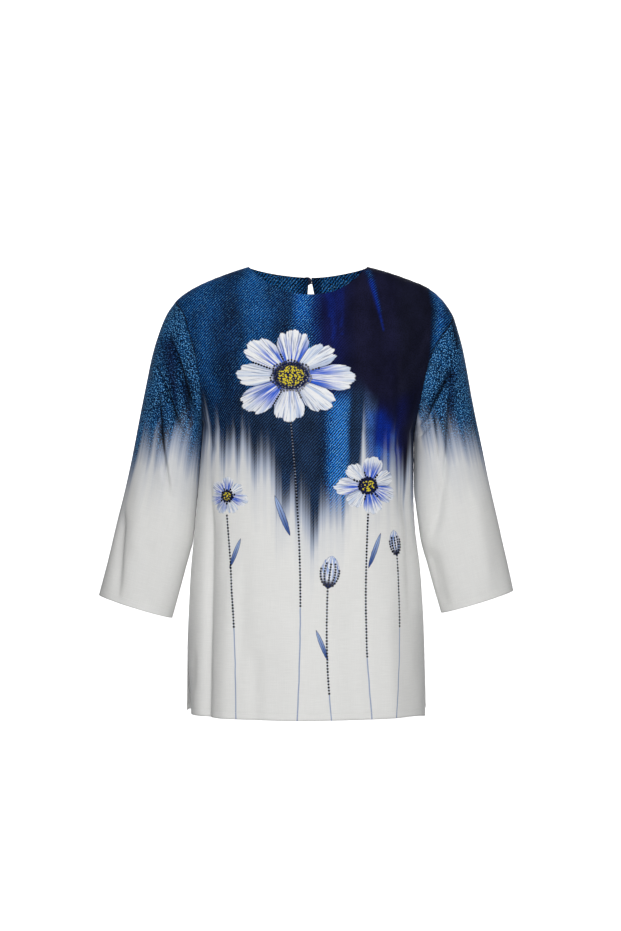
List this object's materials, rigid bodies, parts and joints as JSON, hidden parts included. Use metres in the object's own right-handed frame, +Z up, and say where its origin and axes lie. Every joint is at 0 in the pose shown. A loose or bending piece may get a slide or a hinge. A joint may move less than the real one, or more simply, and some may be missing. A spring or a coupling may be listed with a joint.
{
  "type": "blouse",
  "caption": "Woven blouse in its worn, hollow form, with a wide round neck, dropped three-quarter sleeves, side slits and a buttoned keyhole at the back neck.",
  "frame": {"origin": "on the centre line midway between the shoulders, 25 mm below the neck points, at the height where the wearer's shoulders carry the blouse", "axes": "+Z up along the body, +X to the wearer's left, +Y to the wearer's back, so the front faces -Y"},
  "size_m": [0.65, 0.2518, 0.705],
  "materials": {
    "printed_cloth": "matte woven cloth, pale grey-white below and denim blue to navy above",
    "dark_trim": "navy covered button and cord loop"
  },
  "bodies": {
    "root": {"front_panel": "printed_cloth", "back_panel": "printed_cloth", "sleeve_right": "printed_cloth", "sleeve_left": "printed_cloth", "keyhole_button": "dark_trim", "keyhole_loop": "dark_trim"}
  },
  "joints": []
}
